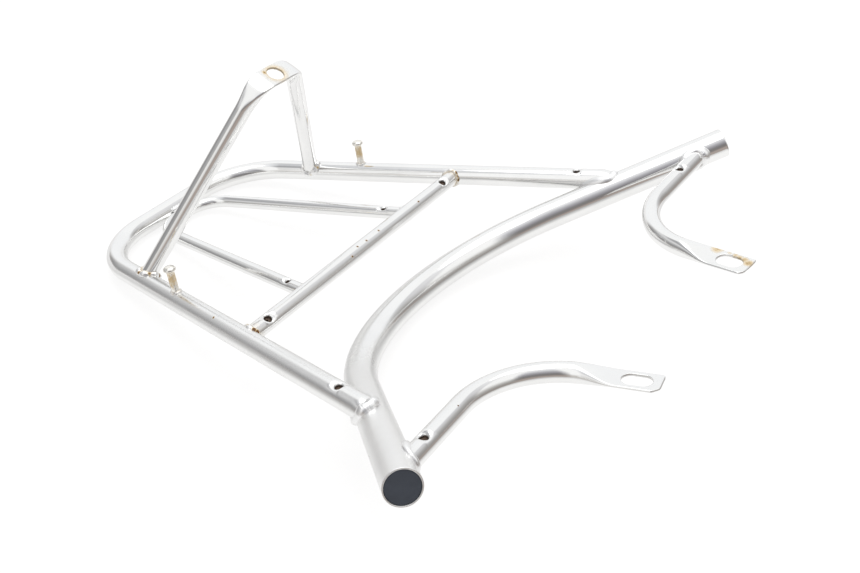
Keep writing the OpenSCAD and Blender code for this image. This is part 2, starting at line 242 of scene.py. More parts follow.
def chrome_plate(name, bright, gloss, film_spread, ripple):
    """Bright chrome on drawn steel tube: a near mirror, dulled by a film in 30 mm clouds and the haze mask.

    The 7 mm ripple of the drawn tube shows under the plate. It has pits of about 1 mm in 16 mm cells, and
    where the rust mask says that the plate failed, straw-coloured rust that turns brown where it is thick.
    Where the inside mask says, deep in holes, it is painted dark brown-grey as shade and is a duller metal.
    """
    film_size = 0.030
    grain_size = 0.0016
    pit_cell = 0.016
    pit_radius = 0.000512
    cells_without_pit = 0.62
    ripple_size = 0.007
    ripple_depth = 0.0003
    haze_rough = 0.25
    rust_rough = 0.7
    rust_breakup = 0.5
    rust_lift = 0.6
    inside_dull = 0.5
    made, tree, shader = new_material(name)
    place = add_node(tree, "ShaderNodeTexCoord").outputs["Object"]
    film = add_node(tree, "ShaderNodeTexNoise", Vector=place, Scale=1 / film_size, Detail=5.0, Roughness=0.6)
    haze = add_node(tree, "ShaderNodeAttribute", {"attribute_name": "haze"}).outputs["Fac"]
    cloud = add_node(
        tree, "ShaderNodeMapRange", Value=film, From_Min=0.35, From_Max=0.7, To_Min=gloss,
        To_Max=gloss + film_spread)
    rough = add_node(tree, "ShaderNodeMath", {"operation": "MULTIPLY_ADD"}, n0=haze, n1=haze_rough, n2=cloud)
    grain = add_node(
        tree, "ShaderNodeTexNoise", Vector=place, Scale=1 / grain_size, Detail=4.0, Roughness=0.7)
    rust_mask = add_node(tree, "ShaderNodeAttribute", {"attribute_name": "rust"}).outputs["Fac"]
    uneven_rust = add_node(
        tree, "ShaderNodeMath", {"operation": "MULTIPLY_ADD"}, n0=grain, n1=rust_breakup,
        n2=-rust_breakup / 2)
    broken = add_node(tree, "ShaderNodeMath", {"operation": "ADD"}, n0=rust_mask, n1=uneven_rust)
    rusted = add_node(tree, "ShaderNodeMapRange", soft_range, Value=broken, From_Min=0.18)
    thick_rust = add_node(tree, "ShaderNodeMapRange", soft_range, Value=broken, From_Min=0.6, From_Max=1.15)
    spots = add_node(tree, "ShaderNodeTexVoronoi", Vector=place, Scale=1 / pit_cell)
    near = add_node(
        tree, "ShaderNodeMath", {"operation": "LESS_THAN"}, n0=spots.outputs["Distance"],
        n1=pit_radius / pit_cell)
    some = add_node(tree, "ShaderNodeSeparateColor", Color=spots.outputs["Color"])
    few = add_node(tree, "ShaderNodeMath", {"operation": "GREATER_THAN"}, n0=some, n1=cells_without_pit)
    pits = add_node(tree, "ShaderNodeMath", {"operation": "MULTIPLY"}, n0=near, n1=few)
    worn = add_node(tree, "ShaderNodeMath", {"operation": "MAXIMUM"}, n0=rusted, n1=pits)
    inside = add_node(tree, "ShaderNodeAttribute", {"attribute_name": "inside"}).outputs["Fac"]
    metal = add_node(tree, "ShaderNodeMixRGB", Fac=film, Color1=colour(bright), Color2=colour("#f0f0ef"))
    brown = add_node(tree, "ShaderNodeMath", {"operation": "MAXIMUM"}, n0=thick_rust, n1=pits)
    oxide = add_node(tree, "ShaderNodeMixRGB", Fac=brown, Color1=colour("#e2c27c"), Color2=colour("#75502f"))
    plated = add_node(tree, "ShaderNodeMixRGB", Fac=worn, Color1=metal, Color2=oxide)
    # Painted shade: the inside mask turns the colour dark brown-grey deep in holes and on slot walls.
    final = add_node(tree, "ShaderNodeMixRGB", Fac=inside, Color1=plated, Color2=colour("#5c4c40"))
    dull = add_node(tree, "ShaderNodeMath", {"operation": "MULTIPLY_ADD"}, n0=inside, n1=inside_dull, n2=worn)
    spread = add_node(tree, "ShaderNodeMapRange", Value=dull, To_Min=rough, To_Max=rust_rough)
    bare = add_node(tree, "ShaderNodeMath", {"operation": "SUBTRACT", "use_clamp": True}, n0=1.0, n1=dull)
    waves = add_node(
        tree, "ShaderNodeTexNoise", Vector=place, Scale=1 / ripple_size, Detail=2.0, Roughness=0.5)
    uneven = add_node(tree, "ShaderNodeMath", {"operation": "MULTIPLY_ADD"}, n0=worn, n1=rust_lift, n2=waves)
    relief = add_node(tree, "ShaderNodeBump", Strength=ripple, Distance=ripple_depth, Height=uneven)
    set_sockets(tree, shader, Base_Color=final, Roughness=spread, Metallic=bare, Normal=relief)
    return made


def finish_piece(piece, node, material):
    """Gives the piece its material and lets it stand for its node."""
    piece.data.materials.append(material)
    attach(piece, "root")
    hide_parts(node)


leg_tip = leg_point(leg_len)
bow_corner = leg_point(-bow_end_x / math.cos(bow_half))
bar_normal = np.array([0, math.sin(bow_slope), math.cos(bow_slope)])
bar_path, bar_heads = bent_path([other_side(leg_tip), bow_corner, leg_tip], bow_radius)
bar_inner = bar_radius - bar_wall
bar_lip = [
    (-0.25, 10.98), (-0.06, 10.88), (0.0, 10.7), (0.0, 10.3), (-0.06, 10.1), (-0.3, bar_inner),
    (-9.0, bar_inner)]
bar_centres, bar_headings, bar_radii = open_end(bar_path, bar_heads, bar_radius, bar_lip)
bar_grid = sweep(bar_centres, bar_headings, bar_normal, bar_radii, around=bar_around)
left_leg_haze = [("haze", other_side(leg_point(110)), 150, 1.1), ("haze", other_side(leg_point(0)), 120, 0.9)]
grab_bar = make_piece("grab_bar_piece", [(bar_grid, True, 0)], left_leg_haze)

# Bright chrome plate on polished tube: a near mirror, so the tubes show the room in long pale and dark bands.
bar_chrome = chrome_plate("bright_chrome_plate", "#fcfcfb", gloss=0.05, film_spread=0.09, ripple=0.12)
finish_piece(grab_bar, "grab_bar", bar_chrome)


# Outer loop
# One 16 mm tube: a rear bar, two bends, and two rails that splay to the grab bar's legs.
# The rails run into the legs in a soft dome under the weld. Each has one drain hole for the plating bath.

corner_radius = 60.0
cross_y = 200.0
rail_vent_at = 98.0
rail_vent_block = (6.6, 6.4)
rail_dome = 13.0
vent_radius = 3.25
pit_reach = 1.0
pit_strength = 2.0
up = np.array([0.0, 0.0, 1.0])

# Rings of a drain hole: a bright dish whose lip rolls in by 0.7 mm, then the inside of the tube, a duller
# metal painted darker with depth as shade.
vent_rings = [
    (0.0, 0.0, 0.0, 0, 1), (0.25, 0.0, -0.04, 0, 1), (0.5, 0.0, -0.2, 0, 1), (0.7, 0.0, -0.48, 0, 1),
    (0.9, 0.0, -0.85, 0, 1), (1.0, 0.0, -1.1, 0, 1), (1.0, -0.35, -1.45, 0, 1), (1.0, -0.6, -1.9, 0.15, 1),
    (1.0, -0.7, -2.4, 0.8, 1), (1.0, -0.6, -3.2, 1, 1), (1.0, -1.0, -4.0, 1, 1), (1.0, -2.4, -4.3, 1, 1)]


def rail_point(back):
    """Point of the +X rail's axis, back millimetres in front of the rear bar."""
    return np.array([rear_half + back * math.tan(rail_splay), -back, 0.0])


def domed_end(path, radius, length):
    """Radii of a tube whose two ends close like a thumb over a length.

    They are radius * sqrt(1 - s^2), where s falls from 1 at the tip to 0 at the length.
    """
    away = np.concatenate([[0], np.cumsum(np.linalg.norm(np.diff(path, axis=0), axis=1))])
    from_end = np.minimum(away, away[-1] - away)
    share = np.clip(1 - from_end / length, 0, 1)
    return radius * np.sqrt(1 - share**2)


def drill(path, heads, thin, half_thick, flat, at, block, outline, rings, turn=0.0, around=72):
    """Hole in a swept tube: the quads of a block around it go, and a collar of rings takes their place.

    The block is (half length, half width). The points of its edge move straight to the hole's outline.
    A ring lies at height half_thick * sqrt(1 - (w / steep)^2) for the place w across, plus its lift. It is
    (share of the way to the outline, outline's growth, lift, inside mask of painted shade and dullness,
    face).
    Face 1 is the near wall, and face -1 the far one.
    """
    reach, side = block
    away = np.linalg.norm(path - at, axis=1)
    middle = np.argmin(away)
    head = heads[middle]
    along = (path - at) @ head
    rows = np.flatnonzero((away < 3 * reach) & (np.abs(along) <= reach))
    first = rows[0]
    last = rows[-1]
    angle = np.linspace(0, 2 * np.pi, around, endpoint=False) - np.pi / 2 - turn
    thick = np.broadcast_to(half_thick, len(path))[middle]
    flat_here = np.broadcast_to(flat, len(path))[middle]
    across = thick * np.sin(angle) + flat_here * np.clip(edge_steep * np.sin(angle), -1, 1)
    columns = np.flatnonzero((np.cos(angle) > 0) & (np.abs(across) <= side))
    left = columns[0]
    right = columns[-1]
    gone = np.zeros((len(path) - 1, around), bool)
    gone[first:last, left:right] = True
    if flat_here > 0:
        gone[first:last, (np.arange(left, right) + around // 2) % around] = True
    edge_row = np.concatenate([
        np.full(right - left, first), np.arange(first, last),
        np.full(right - left, last), np.arange(last, first, -1)])
    edge_column = np.concatenate([
        np.arange(left, right), np.full(last - first, right),
        np.arange(right, left, -1), np.full(last - first, left)])
    edge = np.stack([along[edge_row], across[edge_column]], -1)
    far = np.linalg.norm(edge, axis=1)
    unit = edge / far[:, None]
    rim = outline(unit)
    out = np.broadcast_to(thin, path.shape)[middle]
    wide = np.cross(head, out)
    lifted = math.cos(turn) * out + math.sin(turn) * wide
    turned_wide = math.cos(turn) * wide - math.sin(turn) * out
    share, growth, lift, inside, face = np.asarray(rings, float).T
    ring = far * (1 - share[:, None]) + (rim + growth[:, None]) * share[:, None]
    spot = unit * ring[..., None]
    steep = thick + edge_steep * flat_here
    height = thick * np.sqrt(np.clip(1 - (spot[..., 1] / steep) ** 2, 0, 1))
    height = (height + lift[:, None]) * face[:, None]
    collar = at + spot[..., :1] * head + spot[..., 1:] * turned_wide + height[..., None] * lifted
    return gone, (collar, True, inside)


def round_hole(radius):
    """Outline of a round hole: the same radius in every direction."""
    return lambda unit: np.full(len(unit), radius)


def drill_both(path, heads, radius, at, block, hole_radius, turn=0.0):
    """The same drain hole at a place and at its mirror place: the quads that go, and the two collars."""
    outline = round_hole(hole_radius)
    gone, collar = drill(path, heads, up, radius, 0.0, at, block, outline, vent_rings, turn)
    left_gone, left_collar = drill(
        path, heads, up, radius, 0.0, other_side(at), block, outline, vent_rings, turn)
    return gone | left_gone, [collar, left_collar]


rail_tip = rail_point(meet_at * math.sin(bow_half) * math.cos(bow_slope) - bow_end_y)
rear_corner = np.array([rear_half, 0.0, 0.0])
loop_corners = [other_side(rail_tip), other_side(rear_corner), rear_corner, rail_tip]
loop_path, loop_heads = bent_path(loop_corners, corner_radius)
loop_grid = sweep(loop_path, loop_heads, up, domed_end(loop_path, loop_radius, rail_dome))
rail_vent = rail_point(cross_y + rail_vent_at)
loop_gone, loop_collars = drill_both(
    loop_path, loop_heads, loop_radius, rail_vent, rail_vent_block, vent_radius)
loop_stains = [
    ("haze", other_side(rail_point(200)), 220, 0.8), ("rust", [-124.3, -169.6, 7.5], pit_reach, pit_strength)]
outer_loop = make_piece("outer_loop_piece", [(loop_grid, True, 0), *loop_collars], loop_stains, loop_gone)
finish_piece(outer_loop, "outer_loop", bar_chrome)


# Cross bar
# Straight 12 mm tube between the rails, with a drain hole near each end, drilled towards the front.
# Small rust pits have come through the plate along its top, and rust has started at its welds.

cross_radius = 6.0
cross_vent_in = 22.0
cross_vent_lean = math.radians(28)
cross_vent_block = (6.4, 5.55)
cross_pits = [
    (19.2, -202.5, 5.5), (3.5, -202.8, 5.3), (-6.7, -202.3, 5.6), (-17.0, -205.0, 3.3), (70.4, -203.7, 4.8)]

cross_half = rail_point(cross_y)[0]
cross_end = np.array([cross_half, -cross_y, 0])
cross_path, cross_heads = bent_path([other_side(cross_end), cross_end], radius=1.0, pitch=0.6)
cross_grid = sweep(cross_path, cross_heads, up, cross_radius)
cross_vent = np.array([cross_half - cross_vent_in, -cross_y, 0])
cross_gone, cross_collars = drill_both(
    cross_path, cross_heads, cross_radius, cross_vent, cross_vent_block, vent_radius, cross_vent_lean)
cross_stains = [("rust", pit, pit_reach, pit_strength) for pit in cross_pits]
cross_stains += [("rust", [sign * (cross_half - 8), -cross_y, 0], 11, 0.5) for sign in (-1, 1)]
cross_bar = make_piece("cross_bar_piece", [(cross_grid, True, 0), *cross_collars], cross_stains, cross_gone)

# Thinner chrome plate on the small tubes: a little duller and more rippled, so their bands are softer.
thin_chrome = chrome_plate("pitted_chrome_plate", "#fbfbfa", gloss=0.07, film_spread=0.10, ripple=0.14)
finish_piece(cross_bar, "cross_bar", thin_chrome)


# Inner loop
# Narrow hairpin of 10 mm tube, level with the loop on the load side, from the cross bar to the rear bar.
# Each leg has a drain hole close to the cross bar.

inner_radius = 5.0
inner_half = 62.5
inner_taper = math.radians(10.6)
inner_bend = 28.0
inner_dome = 3.0
inner_vent_at = 22.0
inner_vent_radius = 2.75
inner_vent_block = (5.4, 4.6)
inner_gap = 0.05

inner_z = inner_radius - loop_radius
inner_y = math.sqrt((loop_radius + inner_radius + inner_gap) ** 2 - inner_z**2)
inner_rear = inner_half - (cross_y - inner_y) * math.tan(inner_taper)
inner_corner = np.array([inner_rear, -inner_y, inner_z])
inner_end = np.array([inner_half, -cross_y, inner_z])
inner_corners = [other_side(inner_end), other_side(inner_corner), inner_corner, inner_end]
inner_path, inner_heads = bent_path(inner_corners, inner_bend)
inner_grid = sweep(inner_path, inner_heads, up, domed_end(inner_path, inner_radius, inner_dome))
inner_vent = inner_end + [-inner_vent_at * math.tan(inner_taper), inner_vent_at, 0]
inner_gone, inner_collars = drill_both(
    inner_path, inner_heads, inner_radius, inner_vent, inner_vent_block, inner_vent_radius)
inner_loop = make_piece("inner_loop_piece", [(inner_grid, True, 0), *inner_collars], faces_gone=inner_gone)
finish_piece(inner_loop, "inner_loop", thin_chrome)


# Rear stay
# 12 mm tube folded to an inverted V that leans to the front. Its top is pressed flat and drilled for the
# tail bolt. The bolt has worn the plate away, so the hole has a ring of rust.

stay_radius = 6.0
stay_y = 71.7
stay_lean = math.radians(31.5)
stay_height = 152.4
stay_top = 18.2
stay_bend = 15.0
stay_flat_reach = 10.5
stay_flare = 28.0
stay_flat_half = 8.75
stay_around = 120
flat_thick = 1.0
stay_hole_radius = 6.25
stay_hole_block = (8.2, 7.4)


def stay_point(x, rise):
    """Point of the stay's leaning plane, x across and rise up along it."""
    return np.array([x, -stay_y - rise * math.sin(stay_lean), rise * math.cos(stay_lean)])


def smooth_step(share):
    """0 to 1 with level ends: 3 s^2 - 2 s^3."""
    share = np.clip(share, 0, 1)
    return share * share * (3 - 2 * share)


def hole_rings(half_thick):
    """Rings of a hole right through a flat: near face, rounded edge, wall, rounded edge, far face. The wall
    is painted a little darker as shade.
    """
    near = [
        (0.0, 0.0, 0.0, 0, 1), (0.5, 0.3, 0.0, 0, 1), (1.0, 0.3, 0.0, 0, 1), (1.0, 0.08, -0.1, 0, 1),
        (1.0, 0.0, -0.32, 0.12, 1), (1.0, 0.0, -half_thick, 0.3, 1)]
    far = [(*ring[:4], -1) for ring in near[-2::-1]]
    return near + far


stay_foot = rail_point(stay_y)[0]
stay_corners = [
    stay_point(-stay_foot, 0), stay_point(-stay_top, stay_height),
    stay_point(stay_top, stay_height), stay_point(stay_foot, 0)]
stay_path, stay_heads = bent_path(stay_corners, stay_bend, pitch=0.8)
stay_normal = np.array([0, math.cos(stay_lean), math.sin(stay_lean)])
stay_thin = np.cross(stay_heads, stay_normal)
stay_along = np.concatenate([[0], np.cumsum(np.linalg.norm(np.diff(stay_path, axis=0), axis=1))])
stay_round = smooth_step((np.abs(stay_along - stay_along[-1] / 2) - stay_flat_reach) / stay_flare)
stay_thick = flat_thick + (stay_radius - flat_thick) * stay_round
stay_flat = (stay_flat_half - flat_thick) * (1 - stay_round)
stay_grid = sweep(stay_path, stay_heads, stay_thin, stay_thick, stay_flat, stay_around)
stay_eye = stay_point(0, stay_height)
stay_gone, stay_collar = drill(
    stay_path, stay_heads, stay_thin, stay_thick, stay_flat, stay_eye, stay_hole_block,
    round_hole(stay_hole_radius), hole_rings(flat_thick), around=stay_around)

# Where the bolt's washer lay, the worn edge of the hole, and one deeper spot beside it.
stay_stains = [
    ("rust", stay_eye, 12.5, 0.82), ("rust", stay_eye, 6.9, 2.8), ("rust", [-6.3, -147.7, 133.3], 2.4, 1.0)]
rear_stay = make_piece("rear_stay_piece", [(stay_grid, True, 0), stay_collar], stay_stains, stay_gone)
finish_piece(rear_stay, "rear_stay", thin_chrome)


# Front arms
# 13 mm tube, welded to the grab bar's legs, bent forwards and pressed flat at its end for an oblong slot.
# Each tip's outer corner is cut off and its inner one rounded. The right flat has rust along its slot.

arm_radius = 6.5
arm_in = 16.6
arm_run = 120.0
arm_reach = 82.0
arm_bend = 57.0
arm_tilt = math.radians(4.7)
arm_yaw = math.radians(4.4)
arm_toe = math.radians(10.3)
arm_flat_half = 9.5
arm_around = 144
press_from = 53.0
press_to = 25.2
slot_half = 6.0
slot_straight = 3.25
slot_block = (10.2, 7.4)
tip_land = 5.5
tip_round = 0.9
arm_vent_left = 28.0
arm_vent_right = 38.0
arm_vent_block = (6.4, 5.8)
closed_radius = 1e-4
not_zero = 1e-6

# Outer corner's straight cut, then length and width of the inner corner's round.
left_clips = (4.5, 2.0, 2.0)
right_clips = (1.2, 4.5, 7.0)
right_arm_rust = [
    ("rust", (81.3, -438.5, 1.2), 6.0, 0.75), ("rust", (82.1, -441.5, 1.2), 4.0, 0.6),
    ("rust", (80.0, -447.5, 1.0), 2.6, 0.6), ("rust", (78.6, -452.0, 0.9), 3.2, 0.7),
    ("rust", (76.9, -455.4, 0.8), 3.6, 0.75), ("rust", (75.4, -459.4, 0.7), 4.0, 0.8),
    ("rust", (72.3, -463.0, 0.4), 5.0, 0.85)]


def slot_outline(unit):
    """Distance to an oblong: the straight side where the ray meets it, else the round end's circle."""
    along, across = np.abs(unit).T
    side = slot_half / np.maximum(across, not_zero)
    end = slot_straight * along + np.sqrt(np.clip(slot_half**2 - (slot_straight * across) ** 2, 0, None))
    return np.where(side * along <= slot_straight, side, end)


tilt_turn = np.array([
    [math.cos(arm_tilt), 0, math.sin(arm_tilt)], [0, 1, 0], [-math.sin(arm_tilt), 0, math.cos(arm_tilt)]])
yaw_turn = np.array([
    [math.cos(arm_yaw), -math.sin(arm_yaw), 0], [math.sin(arm_yaw), math.cos(arm_yaw), 0], [0, 0, 1]])
arm_axes = np.diag([-1.0, 1.0, 1.0]) @ tilt_turn @ yaw_turn
arm_from = leg_point(leg_len - arm_in)
arm_turn = math.pi / 2 - arm_toe + arm_yaw
arm_tip = slot_straight + slot_half + tip_land
arm_way = np.array([math.cos(arm_turn), -math.sin(arm_turn), 0])
arm_local = np.array([[0, 0, 0], [arm_run, 0, 0], [arm_run, 0, 0] + arm_way * (arm_reach + arm_tip)])
arm_corners = arm_from + arm_local @ arm_axes.T
arm_normal = arm_axes @ [0, 0, 1]
slot_place = arm_from + arm_axes @ ([arm_run, 0, 0] + arm_way * arm_reach)
arm_plan = [
    ("left", other_side, -1, arm_vent_left, left_clips, []),
    ("right", np.asarray, 1, arm_vent_right, right_clips, right_arm_rust)]
for side_name, on_side, inward, vent_at, (outer_clip, inner_long, inner_wide), stains in arm_plan:
    path, heads = bent_path(on_side(arm_corners), arm_bend, pitch=0.6)
    normal = on_side(arm_normal)
    steps = np.linalg.norm(np.diff(path, axis=0), axis=1)
    to_tip = np.concatenate([np.cumsum(steps[::-1])[::-1], [0]])
    pressed = smooth_step((press_from - to_tip) / (press_from - press_to))
    outer_cut = np.clip(outer_clip - to_tip, 0, None)
    inner_cut = inner_wide * (1 - np.sqrt(1 - np.clip(1 - to_tip / inner_long, 0, 1) ** 2))
    closing = np.clip(1 - to_tip / tip_round, 0, 1)
    thick = arm_radius + (flat_thick - arm_radius) * pressed
    thick = thick * np.sqrt(1 - closing**2) + closed_radius
    flat = (arm_flat_half - flat_thick) * pressed - (outer_cut + inner_cut) / 2
    middle = path + np.cross(heads, normal) * (inward * (outer_cut - inner_cut) / 2)[:, None]
    grid = sweep(middle, heads, normal, thick, flat, arm_around)
    slot_gone, slot_collar = drill(
        path, heads, normal, thick, flat, on_side(slot_place), slot_block, slot_outline,
        hole_rings(flat_thick), around=arm_around)
    vent_place = on_side(arm_from + arm_axes @ [vent_at, 0, 0])
    vent_gone, vent_collar = drill(
        path, heads, normal, arm_radius, 0.0, vent_place, arm_vent_block, round_hole(vent_radius), vent_rings,
        around=arm_around)
    patches = [(grid, True, 0), slot_collar, vent_collar]
    arm = make_piece(side_name + "_arm_piece", patches, stains, slot_gone | vent_gone)
    finish_piece(arm, side_name + "_arm", bar_chrome)


# Strap pegs
# Turned steel pegs with a domed head, welded upright on the rails to hook a luggage strap on.
# Their thin plate has gone yellow-brown on the shank, and the head is rubbed bright.

peg_y = 119.0
peg_radius = 2.75
peg_around = 40
peg_stain_at = 19.0
both_sides = (("left", other_side), ("right", np.asarray))
sideways = np.array([1.0, 0, 0])

# Rows are (height above the rail's axis, radius): the shank, the head's underside, rim and dome.
peg_profile = np.array([
    (7.0, peg_radius), (9.5, peg_radius), (12.0, peg_radius), (15.0, peg_radius), (18.0, peg_radius),
    (20.5, peg_radius), (23.0, peg_radius), (24.0, 2.85), (24.7, 3.3), (25.2, 4.1), (25.5, 4.42), (25.8, 4.5),
    (26.3, 4.5), (26.8, 4.4), (27.3, 4.1), (27.9, 3.3), (28.3, 2.0), (28.45, 1.0), (28.5, 0.0)])


def worn_steel(name):
    """Thinly plated steel turned yellow-brown: dull metal under a blotchy oxide film with 3 mm blotches."""
    blotch_size = 0.003
    blotch_depth = 0.0002
    made, tree, shader = new_material(name)
    place = add_node(tree, "ShaderNodeTexCoord").outputs["Object"]
    blotch = add_node(
        tree, "ShaderNodeTexNoise", Vector=place, Scale=1 / blotch_size, Detail=5.0, Roughness=0.65)
    mask = add_node(tree, "ShaderNodeAttribute", {"attribute_name": "rust"}).outputs["Fac"]
    shown = add_node(tree, "ShaderNodeMath", {"operation": "ADD"}, n0=mask, n1=blotch)
    film = add_node(tree, "ShaderNodeMapRange", soft_range, Value=shown, From_Min=0.75, From_Max=1.2)
    oxide = add_node(tree, "ShaderNodeMixRGB", Fac=blotch, Color1=colour("#e4b972"), Color2=colour("#fae8bb"))
    tone = add_node(tree, "ShaderNodeMixRGB", Fac=film, Color1=colour("#f6f3ec"), Color2=oxide)
    rough = add_node(tree, "ShaderNodeMapRange", Value=film, To_Min=0.18, To_Max=0.6)
    metal = add_node(tree, "ShaderNodeMapRange", Value=film, To_Min=1.0, To_Max=0.25)
    relief = add_node(tree, "ShaderNodeBump", Strength=0.25, Distance=blotch_depth, Height=blotch)
    set_sockets(tree, shader, Base_Color=tone, Roughness=rough, Metallic=metal, Normal=relief)
    return made


# Plated steel with its oxide film: straw-coloured and dull on the shank, a warm glint on the head.
peg_steel = worn_steel("yellowed_plated_steel")
for side_name, on_side in both_sides:
    foot = on_side(rail_point(peg_y))
    centres = foot + peg_profile[:, :1] * up
    heads = np.repeat(up[None], len(centres), 0)
    grid = sweep(centres, heads, sideways, peg_profile[:, 1], around=peg_around)
    peg_stain = ("rust", foot + up * peg_stain_at, 10.5, 0.6)
    peg = make_piece(side_name + "_peg_piece", [(grid, True, 0)], [peg_stain])
    finish_piece(peg, side_name + "_peg", peg_steel)


# End plugs
# Black plastic plugs pushed into the grab bar's ends until their face lies just inside the lip.
# Moulded polyethylene, matt, with a soft sheen and a fine grain.

plug_sink = 0.6
plug_radius = 9.9

# Rows are (outwards from the rim of the face, radius): the hidden wall, the rounded rim and a slight crown.
plug_profile = np.array([
    (-13.4, plug_radius), (-6.0, plug_radius), (-0.6, plug_radius), (-0.25, 9.82), (-0.08, 9.6), (0.0, 9.2),
    (0.05, 8.0), (0.1, 5.0), (0.12, 2.0), (0.12, 0.0)])


def moulded_plastic(name):
    """Black polyethylene: slate black, matt, with a 0.6 mm moulded grain drawn coarse enough to show."""
    grain_size = 0.0006
    grain_depth = 0.0001
    cloud_size = 0.007
    made, tree, shader = new_material(name)
    place = add_node(tree, "ShaderNodeTexCoord").outputs["Object"]
    grain = add_node(
        tree, "ShaderNodeTexNoise", Vector=place, Scale=1 / grain_size, Detail=3.0, Roughness=0.6)
    cloud = add_node(
        tree, "ShaderNodeTexNoise", Vector=place, Scale=1 / cloud_size, Detail=3.0, Roughness=0.5)
    tone = add_node(tree, "ShaderNodeMixRGB", Fac=cloud, Color1=colour("#40454e"), Color2=colour("#545b66"))
    rough = add_node(
        tree, "ShaderNodeMapRange", Value=grain, From_Min=0.3, From_Max=0.7, To_Min=0.5, To_Max=0.68)
    relief = add_node(tree, "ShaderNodeBump", Strength=0.2, Distance=grain_depth, Height=grain)
    set_sockets(tree, shader, Base_Color=tone, Roughness=rough, Normal=relief)
    return made


# Moulded black polyethylene: an even slate black disc that only the softbox lifts a little.
plug_plastic = moulded_plastic("black_polyethylene")
leg_head = (leg_tip - leg_point(0)) / np.linalg.norm(leg_tip - leg_point(0))
for side_name, on_side in both_sides:
    head = on_side(leg_head)
    centres = on_side(leg_tip) + head * (plug_profile[:, :1] - plug_sink)
    heads = np.repeat(head[None], len(centres), 0)
    grid = sweep(centres, heads, bar_normal, plug_profile[:, 1])
    plug = make_piece(side_name + "_end_plug_piece", [(grid, True, 0)])
    finish_piece(plug, side_name + "_end_plug", plug_plastic)


# Weld beads
# Every joint is closed by a fillet of weld, laid in overlapping drops and chromed over with the tubes.
# The beads stay lumpy and bright, and rust starts in the creases between drops and beside the beads.

bead_around = 28
bead_points = 160
bead_search = 60.0
bead_search_steps = 1201
bead_base = 0.9
bead_wander = 0.12
bead_waver = 0.08
bead_proud = -0.1
drop_level = 0.25
crease_reach = 1.8
crease_rust = 0.45
crease_shares = (0.3, 2.0)
stain_back = 2.0
stain_past = 4.0
cut_square = 0.1
rear_bead_radius = 2.2
rear_bead_past = 2.4
rear_bead_lumps = 0.1
rear_bead_waves = 14
rear_bead_around = 36


def bead_path(tip, head, radius, dome, main_at, main_head, main_radius):
    """Corner where a branch tube meets the side of a main tube, once round the branch.

    The branch's wall is walked towards its tip, where it closes like a thumb over the length dome, until
    its distance from the main axis falls to the main radius. The corner's way out is the mean of the two
    tubes' ways out.
    """
    head = head / np.linalg.norm(head)
    main_head = main_head / np.linalg.norm(main_head)
    first = np.cross(head, main_head)
    first /= np.linalg.norm(first)
    angle = np.linspace(0, 2 * np.pi, bead_points, endpoint=False)[:, None]
    out = np.cos(angle) * first + np.sin(angle) * np.cross(head, first)
    back = np.linspace(bead_search, 0, bead_search_steps)
    closed = radius * np.sqrt(1 - np.clip(1 - back / dome, 0, 1) ** 2)
    wall = tip - main_at + back[:, None] * head + closed[:, None] * out[:, None]
    off = wall - (wall @ main_head)[..., None] * main_head
    entry = np.argmax(np.linalg.norm(off, axis=-1) < main_radius, axis=1)
    each = np.arange(bead_points)
    corner = out + off[each, entry] / main_radius
    return wall[each, entry] + main_at, corner / np.linalg.norm(corner, axis=1)[:, None]


def bead_skin(path, corner, size, sink, drops, lumps, puddle, seed):
    """Ring of weld carried along a closed path, and the creases between its drops.

    Its radius swells by the share lumps with each drop, wanders slowly round, and grows by the puddle's
    length where the corner looks along the puddle. Its centre lies the share sink of the radius below the
    corner.
    """
    ahead = np.roll(path, -1, 0) - np.roll(path, 1, 0)
    heads = ahead / np.linalg.norm(ahead, axis=1)[:, None]
    corner = corner - (corner * heads).sum(1)[:, None] * heads
    corner /= np.linalg.norm(corner, axis=1)[:, None]
    turn = np.linspace(0, 2 * np.pi, len(path), endpoint=False)
    chance = np.random.default_rng(seed)
    shift = chance.uniform(0, 2 * np.pi, 3)
    drop = np.sin(drops * turn / 2 + shift[0]) ** 2
    wander = bead_wander * np.sin(turn + shift[1]) + bead_waver * np.sin(2 * turn + shift[2])
    swell = lumps * (drop - drop_level) + wander
    strong = np.linalg.norm(puddle)
    toward = np.clip(corner @ puddle / max(strong, not_zero), 0, 1) ** 2
    radius = size * (bead_base + swell) + strong * toward
    grid = sweep(path - corner * (sink * radius)[:, None], heads, corner, radius, around=bead_around)
    low = (drop <= np.roll(drop, 1)) & (drop < np.roll(drop, -1))
    creases = (path + corner * ((1 - sink) * radius)[:, None])[low]
    shares = chance.uniform(*crease_shares, len(creases))
    return np.concatenate([grid, grid[:1]]), list(zip(creases, shares))


# Chrome over unpolished weld: white and satin, so the drops glint instead of mirroring the room.
weld_chrome = chrome_plate("plated_weld_bead", "#ffffff", gloss=0.28, film_spread=0.10, ripple=0.2)
bar_head = leg_point(1) - leg_point(0)
rail_head = rail_point(1) - rail_point(0)
stay_head = stay_point(stay_top, stay_height) - stay_point(stay_foot, 0)
no_puddle = np.zeros(3)

